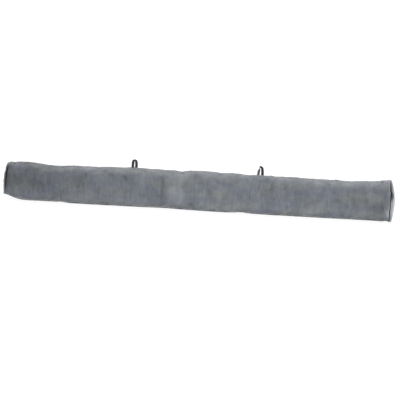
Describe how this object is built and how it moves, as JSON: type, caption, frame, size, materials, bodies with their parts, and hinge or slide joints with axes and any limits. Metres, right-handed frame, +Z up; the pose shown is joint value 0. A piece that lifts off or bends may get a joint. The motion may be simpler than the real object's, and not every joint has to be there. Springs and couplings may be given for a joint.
{
  "type": "draught excluder",
  "caption": "Long stuffed roll of short-pile cloth with crowned end panels and small tape hanging loops, laid along the foot of a door to stop draughts.",
  "frame": {"origin": "middle of the footprint, on the floor that the roll lies on", "axes": "+X along the roll, -Y towards the front, +Z up, away from the floor"},
  "size_m": [0.9192, 0.0954, 0.1077],
  "materials": {
    "velvet": "short brushed pile, matt with a soft sheen at grazing angles",
    "tape": "narrow woven tape, matt"
  },
  "bodies": {
    "root": {"roll_cover": "velvet", "end_panel_left": "velvet", "end_panel_right": "velvet", "hanging_loop_left": "tape", "hanging_loop_right": "tape"}
  },
  "joints": []
}
